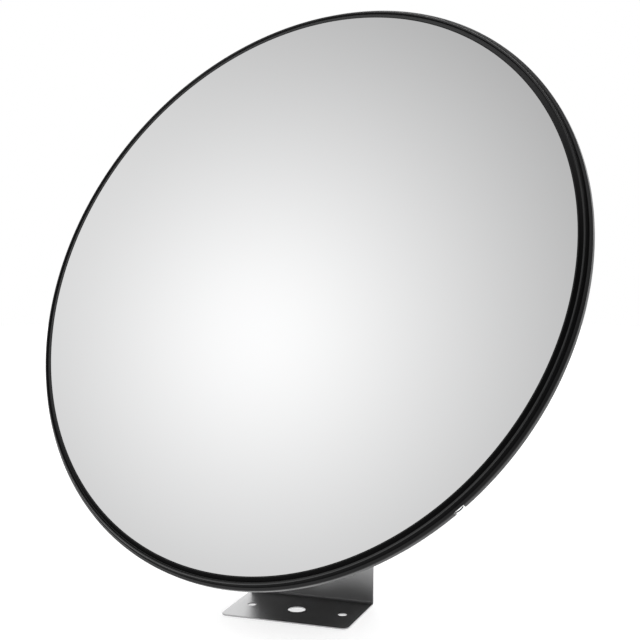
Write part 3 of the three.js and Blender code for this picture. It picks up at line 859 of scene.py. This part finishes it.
# Mount plate: its ears stand on the plate, with a weld bead along each ear's foot.
PLATE_THICK = 2.3
SCREW_BORE_R = 2.3
LUG_OUTER_X = 11.0
LUG_THICK = 2.5
LUG_END_R = 9.0
LUG_FOOT = 12.0
LUG_SHOULDER = 4
LUG_IN_PLATE = 0.3
TILT_BORE_R = 3.3
BEAD_R = 1.15
BEAD_OUT = 0.5
BEAD_OVER_PLATE = 0.35
BEAD_WOBBLE = 0.12
BEAD_RIPPLE = 1.9
BEAD_STEPS = 40


def plate_screw_places():
    """The four plate screws' names and middles, in the head's axes."""
    places = []
    for name in sorted(name for name in frame["nodes"] if name.startswith("plate_screw_")):
        low, high = span(name, HEAD)
        places.append((name, (low + high) / 2))
    return places


def lug_meshes(sign, plate_low):
    """One ear of the mount plate, and its weld bead."""
    outline = arc(0, 0, LUG_END_R, 180, 360, 32)
    shoulder, root = plate_low - LUG_SHOULDER, plate_low + LUG_IN_PLATE
    outline += [(LUG_FOOT, shoulder), (LUG_FOOT, root), (-LUG_FOOT, root), (-LUG_FOOT, shoulder)]
    lug = plate_mesh(outline, [circle(0, 0, TILT_BORE_R, 32, clockwise=True)], LUG_THICK, 0.35)
    upright = Matrix.Rotation(math.pi / 2, 4, "Z") @ Matrix.Rotation(math.pi / 2, 4, "X")
    transformed(lug, Matrix.Translation((sign * (LUG_OUTER_X - LUG_THICK / 2), 0, 0)) @ upright)
    bead = []
    for i in range(BEAD_STEPS + 1):
        x = sign * (LUG_OUTER_X + BEAD_OUT) + BEAD_WOBBLE * math.sin(i * BEAD_RIPPLE)
        y = -LUG_FOOT + LUG_FOOT * 2 * i / BEAD_STEPS
        bead.append(Vector((x, y, plate_low - BEAD_OVER_PLATE)))
    return [lug, tube_mesh(bead, BEAD_R, 10)]


def build_plates():
    low, high = span("mount_plate", HEAD)
    holes = [circle(c.x, c.y, SCREW_BORE_R, 24, clockwise=True) for _, c in plate_screw_places()]
    disc = plate_mesh(circle(0, 0, high.x, 128), holes, PLATE_THICK, 0.4)
    transformed(disc, Matrix.Translation((0, 0, high.z - PLATE_THICK / 2)))
    plate_low = high.z - PLATE_THICK
    mesh = together(disc, *lug_meshes(-1, plate_low), *lug_meshes(1, plate_low))
    add_piece("mount_plate_with_ears", mesh, HEAD, ZINC, "head", "mount_plate", even=True)

    low, high = span("inner_plate", HEAD)
    inner = plate_mesh(circle(0, 0, high.x, 96), holes, high.z - low.z, 0.3)
    transformed(inner, Matrix.Translation((0, 0, (low.z + high.z) / 2)))
    add_piece("inner_backing_plate", inner, HEAD, ZINC, "head", "inner_plate", even=True)


# Each rod reaches this far into its head.
ROD_IN_HEAD = 0.2
SCREW_R = 2.0
SCREW_PITCH = 0.7
SCREW_HEAD_R = 4.0
SCREW_HEAD_HEIGHT = 2.4
SCREW_HEAD_RINGS = 14
SCREW_NUT_FLATS = 7
RECESS_HALF = 0.55
RECESS_REACH = 2.1
RECESS_DEPTH = 1.2


def cross_recess(radius, angle):
    """Depth of a cross recess at a place on a screw head."""
    turn = (angle + math.pi / 4) % (math.pi / 2) - math.pi / 4
    across = abs(radius * math.sin(turn))
    along = radius * math.cos(turn)
    part = smooth_step((RECESS_HALF - across) / 0.25) * smooth_step((RECESS_REACH - along) / 0.4)
    return RECESS_DEPTH * part


def pan_head_mesh(radius, low, high):
    """A domed screw head, its face at low, with a cross recess pressed into it."""
    height = high - low

    def profile_at(angle):
        points = [(0.0, low + cross_recess(0, angle))]
        for i in range(1, SCREW_HEAD_RINGS + 1):
            part = i / SCREW_HEAD_RINGS
            r = radius * min(1.0, part * 1.02)
            dome = height * (1 - math.sqrt(max(0.0, 1 - 0.96 * part ** 4)))
            points.append((r, low + dome + cross_recess(r, angle)))
        return points + [(radius, high), (0.0, high)]

    return revolved(profile_at, steps_round(96), closed=False)


def build_plate_screws():
    for name, centre in plate_screw_places():
        low, high = span(name, HEAD)
        head_top = low.z + SCREW_HEAD_HEIGHT
        shift = Matrix.Translation((centre.x, centre.y, 0))
        head = pan_head_mesh(SCREW_HEAD_R, low.z, head_top)
        shank = thread_mesh(SCREW_R, SCREW_PITCH, -high.z, -head_top + ROD_IN_HEAD, segments=24)
        transformed(shank, Matrix.Rotation(math.pi, 4, "X"))
        screw = transformed(together(head, shank), shift @ Matrix.Rotation(centre.x + centre.y, 4, "Z"))
        number = name.split("_")[-1]
        add_piece("pan_head_screw_" + number, screw, HEAD, ZINC, "head", name)
        nut_name = "plate_nut_" + number
        low, high = span(nut_name, HEAD)
        nut = transformed(hexagon_mesh(SCREW_NUT_FLATS, low.z, high.z, 0.4, SCREW_BORE_R), shift)
        add_piece("inner_hex_nut_" + number, nut, HEAD, ZINC, "head", nut_name)


def build_gasket():
    low, high = span("foam_gasket", HEAD)
    mesh = washer_mesh(GASKET_INNER_R, high.x, low.z, high.z, 0.3, RIM_SEGMENTS)
    add_piece("foam_gasket_ring", mesh, HEAD, FOAM, "head", "foam_gasket")


# ---- yoke and fasteners ----
YOKE_THICK = 2.5
YOKE_BEND_R = 2.75
YOKE_EAR_R = 9.5
YOKE_HALF = 13.0
YOKE_SHOULDER = 8
SQUARE_HOLE_HALF = 4.3
SQUARE_HOLE_CORNER = 0.6
TILT_BOLT_R = 3.0
TILT_PITCH = 1.0
TILT_THREAD = 24
TILT_HEAD_FLATS = 10
TILT_HEAD_HEIGHT = 4
TILT_FRICTION_R = 8.5
TILT_WASHER_R = 6.5
TILT_SPRING_R = 5.9
PAN_BOLT_R = 4.0
PAN_PITCH = 1.25
PAN_THREAD = 20
PAN_SPRING_R = 6.9
PAN_HEAD_R = 9
PAN_HEAD_LIFT = 2.8
PAN_HEAD_RIM = 0.7
PAN_CROWN_STEPS = 14
PAN_NECK_HALF = 4
SPRING_SLIT = math.radians(7)
SPRING_LIFT = 0.32
SPRING_EDGE = 0.25
SPRING_STEPS = 72


def build_yoke():
    """A U of sheet, laid out flat along Y with an ear at each end, then bent."""
    low, high = span("yoke", PAN)
    outer = YOKE_BEND_R + YOKE_THICK / 2
    ear = high.z - low.z - outer
    bend = YOKE_BEND_R * math.pi / 2
    base = 2 * (high.x - outer)
    total = 2 * ear + 2 * bend + base
    foot = high.z - (low.z + YOKE_SHOULDER)
    outline = arc(0, YOKE_EAR_R, YOKE_EAR_R, 180, 360, 32)
    outline += [(YOKE_HALF, foot), (YOKE_HALF, total - foot)]
    outline += arc(0, total - YOKE_EAR_R, YOKE_EAR_R, 0, 180, 32)
    outline += [(-YOKE_HALF, total - foot), (-YOKE_HALF, foot)]
    pivot = high.z - tilt_pivot.z / MM
    middle_y, half, corner = total / 2, SQUARE_HOLE_HALF, SQUARE_HOLE_CORNER
    square = [(-half, middle_y - half, corner), (-half, middle_y + half, corner),
              (half, middle_y + half, corner), (half, middle_y - half, corner)]
    holes = [circle(0, y, TILT_BORE_R, 32, clockwise=True) for y in (pivot, total - pivot)]
    flat = plate_mesh(outline, holes + [rounded(square)], YOKE_THICK, 0.35)
    moves = [ear, (90, YOKE_BEND_R), base, (90, YOKE_BEND_R), ear]
    mesh = bent(flat, (low.x + YOKE_THICK / 2, high.z), -90, moves)
    # bent() gives (across, side, height): turn that into the pan axes.
    swap = Matrix(((0, 1, 0, 0), (1, 0, 0, 0), (0, 0, 1, 0), (0, 0, 0, 1)))
    transformed(mesh, swap)
    add_piece("bent_yoke", mesh, PAN, ZINC, "yoke", "yoke", even=True)


def spring_washer_mesh(inner, outer, low, high):
    """A split ring whose two ends spring apart."""
    sweep = FULL_TURN - 2 * SPRING_SLIT
    lift = (high - low) * SPRING_LIFT
    thick = (high - low) - lift
    corners = ((inner, 0), (outer, 0), (outer, thick), (inner, thick))
    section = rounded([(*corner, SPRING_EDGE) for corner in corners], 3)
    angles = [SPRING_SLIT + sweep * i / SPRING_STEPS for i in range(SPRING_STEPS + 1)]

    def profile_at(angle):
        rise = lift * (angle - SPRING_SLIT) / sweep
        return [(r, low + z + rise) for r, z in section]

    return revolved(profile_at, angles, closed=True, around=False)


def wing_nut_mesh(name, bolt_r, span_across, height):
    """Stands on z = 0: a turned hub with two cast wings that lean apart. Most of its sizes are parts of the
    bolt's radius and of the nut's span and height."""
    hub_r, hub_top, bore = bolt_r * 2.05, height * 0.5, bolt_r + 0.3
    section = [(bore, 0.2, 0.1), (hub_r, 0.2, 0.5), (hub_r * 0.78, hub_top, 0.8), (bore, hub_top, 0.2)]
    tip, top = span_across / 2 - 0.1, height - 0.1
    root = (bolt_r * 1.35, hub_top * 0.3)
    flank, tip_side, tip_top = (hub_r, hub_top * 0.3), (tip, height * 0.72), (tip * 0.82, top)
    wing = [root, flank]
    wing += curve(flank, (tip * 0.9, height * 0.3), tip_side)
    wing += curve(tip_side, (tip, top), tip_top)
    wing += curve(tip_top, (tip * 0.6, top), (root[0], hub_top * 0.95))
    pieces = [lathe(rounded(section, 4), 64)]
    for turn in (0, math.pi):
        blade = plate_mesh(wing, [], bolt_r * 0.66, bolt_r * 0.24)
        transformed(blade, Matrix.Rotation(turn, 4, "Z") @ Matrix.Rotation(math.pi / 2, 4, "X"))
        pieces.append(blade)
    return remeshed(together(*pieces), name, voxel=0.28, smoothing=6)


def build_tilt_fasteners():
    low, high = span("tilt_bolt", TILT)
    head = hexagon_mesh(TILT_HEAD_FLATS, low.z, low.z + TILT_HEAD_HEIGHT, 0.5)
    rod_top = -(low.z + TILT_HEAD_HEIGHT - ROD_IN_HEAD)
    rod = thread_mesh(TILT_BOLT_R, TILT_PITCH, -high.z, rod_top, plain_to=-high.z + TILT_THREAD)
    transformed(rod, Matrix.Rotation(math.pi, 4, "X"))
    add_piece("hex_tilt_bolt", together(head, rod), TILT, ZINC, "yoke", "tilt_bolt")
    for which in ("left", "right"):
        node = "tilt_friction_washer_" + which
        low, high = span(node, TILT)
        mesh = washer_mesh(TILT_BORE_R, TILT_FRICTION_R, low.z, high.z)
        add_piece("nylon_tilt_washer_" + which, mesh, TILT, NYLON, "yoke", node)
    low, high = span("tilt_flat_washer", TILT)
    mesh = washer_mesh(TILT_BORE_R, TILT_WASHER_R, low.z, high.z, edge=0.3)
    add_piece("flat_tilt_washer", mesh, TILT, ZINC, "yoke", "tilt_flat_washer")
    low, high = span("tilt_spring_washer", TILT)
    mesh = spring_washer_mesh(TILT_BORE_R, TILT_SPRING_R, low.z, high.z)
    add_piece("split_tilt_washer", mesh, TILT, ZINC, "yoke", "tilt_spring_washer")
    low, high = span("tilt_wing_nut", TILT)
    mesh = wing_nut_mesh("tilt", TILT_BOLT_R, high.x - low.x, high.z - low.z)
    transformed(mesh, Matrix.Translation((0, 0, low.z)))
    add_piece("cast_tilt_wing_nut", mesh, TILT, ZINC, "tilt_nut", "tilt_wing_nut", sharp=60)


def pan_bolt_mesh(low, high, yoke_low):
    """A carriage bolt: a domed head above a square neck in the yoke, and a threaded rod."""
    head_low = yoke_low + PAN_HEAD_LIFT
    dome = high - head_low - PAN_HEAD_RIM
    crown = [(0.0, high)]
    for i in range(1, PAN_CROWN_STEPS + 1):
        t = math.pi / 2 * i / PAN_CROWN_STEPS
        crown.append((PAN_HEAD_R * math.sin(t), head_low + PAN_HEAD_RIM + dome * math.cos(t)))
    crown += [(PAN_HEAD_R - 0.2, head_low), (0.0, head_low)]
    head = lathe(crown, 96, closed=False)
    half = PAN_NECK_HALF
    square = [(-half, -half, 0.5), (half, -half, 0.5), (half, half, 0.5), (-half, half, 0.5)]
    neck = plate_mesh(rounded(square), [], PAN_HEAD_LIFT, 0.1)
    transformed(neck, Matrix.Translation((0, 0, yoke_low + PAN_HEAD_LIFT / 2)))
    rod = thread_mesh(PAN_BOLT_R, PAN_PITCH, low, yoke_low + ROD_IN_HEAD, plain_to=low + PAN_THREAD)
    return together(head, neck, rod)


def build_pan_fasteners():
    low, high = span("pan_bolt", PAN)
    mesh = pan_bolt_mesh(low.z, high.z, span("yoke", PAN)[0].z)
    add_piece("carriage_pan_bolt", mesh, PAN, ZINC, "yoke", "pan_bolt")
    low, high = span("pan_friction_washer", PAN)
    mesh = washer_mesh(PAN_BORE_R, high.x, low.z, high.z, edge=0.3)
    add_piece("nylon_pan_washer", mesh, PAN, NYLON, "bracket", "pan_friction_washer")
    low, high = span("pan_flat_washer", PAN)
    mesh = washer_mesh(PAN_BORE_R, high.x, low.z, high.z, edge=0.3)
    add_piece("flat_pan_washer", mesh, PAN, ZINC, "bracket", "pan_flat_washer")
    low, high = span("pan_spring_washer", PAN)
    mesh = spring_washer_mesh(PAN_BORE_R, PAN_SPRING_R, low.z, high.z)
    add_piece("split_pan_washer", mesh, PAN, ZINC, "bracket", "pan_spring_washer")
    low, high = span("pan_wing_nut", PAN)
    mesh = wing_nut_mesh("pan", PAN_BOLT_R, high.x - low.x, high.z - low.z)
    transformed(mesh, Matrix.Translation((0, 0, high.z)) @ Matrix.Rotation(math.pi, 4, "X"))
    add_piece("cast_pan_wing_nut", mesh, PAN, ZINC, "pan_nut", "pan_wing_nut", sharp=60)


# ---- camera, light and floor ----
CAMERA_AZIMUTH = 19.7
CAMERA_ELEVATION = 7.73
CAMERA_DISTANCE_M = 1.2
CAMERA_AIM_M = (-0.00397, 0.04397, 0.21065)
CAMERA_LENS = 88.16
CAMERA_SENSOR = 36


def build_camera():
    azimuth, elevation = math.radians(CAMERA_AZIMUTH), math.radians(CAMERA_ELEVATION)
    level = math.cos(elevation)
    back = Vector((math.sin(azimuth) * level, -math.cos(azimuth) * level, math.sin(elevation)))
    data = bpy.data.cameras.new("camera")
    data.lens = CAMERA_LENS
    data.sensor_width = CAMERA_SENSOR
    camera = bpy.data.objects.new("camera", data)
    camera.location = Vector(CAMERA_AIM_M) + back * CAMERA_DISTANCE_M
    camera.rotation_euler = (-back).to_track_quat("-Z", "Y").to_euler()
    bpy.context.scene.collection.objects.link(camera)
    bpy.context.scene.camera = camera


# The front light is brightest where a direction plus SHIFT, made one long, comes nearest to PEAK. It falls
# off evenly in display values, down to DIMMEST. SILVER_LOSS makes up for what the mirror takes away.
SHIFT = (0.381, -1.868, 0.437)
PEAK = (-0.107, -0.856, 0.326)
PEAK_LEVEL = 1.07
FALL = 1.0565
DIMMEST = 0.3
DISPLAY_GAMMA = 2.25
SILVER_LOSS = 1.05
# The two white areas: direction, brightness, and the cosines between which each one fades in.
BACK_DIRECTION = (0.0, 1.0, 0.0)
BACK_LIGHT = 2.05
BACK_FADE = (0.5, 0.75)
BELOW_DIRECTION = (0, 0, -1)
BELOW_LIGHT = 1.65
BELOW_FADE = (0.108, 0.17)
FLOOR_R_M = 1.6
FLOOR_Z_M = -0.0002
FLOOR_GLOW = 0.7


def build_world():
    """A soft light all over the front that is brightest near PEAK, and white areas behind and below."""
    world = bpy.data.worlds.new("studio")
    world.use_nodes = True
    bpy.context.scene.world = world
    nodes = Nodes(world.node_tree)
    direction = nodes.add("ShaderNodeTexCoord").outputs["Generated"]
    half_way = nodes.vector("NORMALIZE", nodes.vector("ADD", direction, SHIFT))
    level = nodes.math("MULTIPLY_ADD", nodes.vector("DISTANCE", half_way, PEAK), -FALL, PEAK_LEVEL)
    front = nodes.math("POWER", nodes.math("MAXIMUM", level, DIMMEST), DISPLAY_GAMMA)
    front = nodes.math("MULTIPLY", front, SILVER_LOSS)
    below = nodes.vector("DOT_PRODUCT", direction, BELOW_DIRECTION)
    below = nodes.ramp(below, *BELOW_FADE, kind="SMOOTHSTEP")
    behind = nodes.vector("DOT_PRODUCT", direction, BACK_DIRECTION)
    behind = nodes.ramp(behind, *BACK_FADE, kind="SMOOTHSTEP")
    light = nodes.mix(behind, nodes.mix(below, front, BELOW_LIGHT), BACK_LIGHT)
    seen = nodes.add("ShaderNodeLightPath").outputs["Is Camera Ray"]
    background = world.node_tree.nodes["Background"]
    nodes.feed(background.inputs["Color"], (1, 1, 1, 1))
    nodes.feed(background.inputs["Strength"], nodes.mix(seen, light, 1.0))


def build_floor():
    """A pale disc that glows a little, so that it is as white as the background."""
    data = bpy.data.meshes.new("floor")
    mesh = bmesh.new()
    bmesh.ops.create_circle(mesh, cap_ends=True, segments=128, radius=FLOOR_R_M)
    mesh.to_mesh(data)
    mesh.free()
    floor = bpy.data.objects.new("floor", data)
    floor.location = (0, 0, FLOOR_Z_M)
    floor.visible_glossy = False
    shader = Shader("pale_floor", (0.8, 0.8, 0.8), 0.9)
    grain = shader.noise(scale=8, detail=2)
    shader.set("Base Color", shader.blend(shader.spread(grain, 0, 1), (0.79, 0.79, 0.79), (0.81, 0.81, 0.81)))
    shader.set("Emission Color", (1, 1, 1, 1))
    shader.set("Emission Strength", FLOOR_GLOW)
    data.materials.append(shader.material)
    bpy.context.scene.collection.objects.link(floor)


bpy.context.scene.view_settings.view_transform = "Standard"
build_camera()
build_world()
build_floor()
build_bracket()
build_dome()
build_trim()
build_staple()
build_shell()
build_plates()
build_plate_screws()
build_gasket()
build_yoke()
build_tilt_fasteners()
build_pan_fasteners()
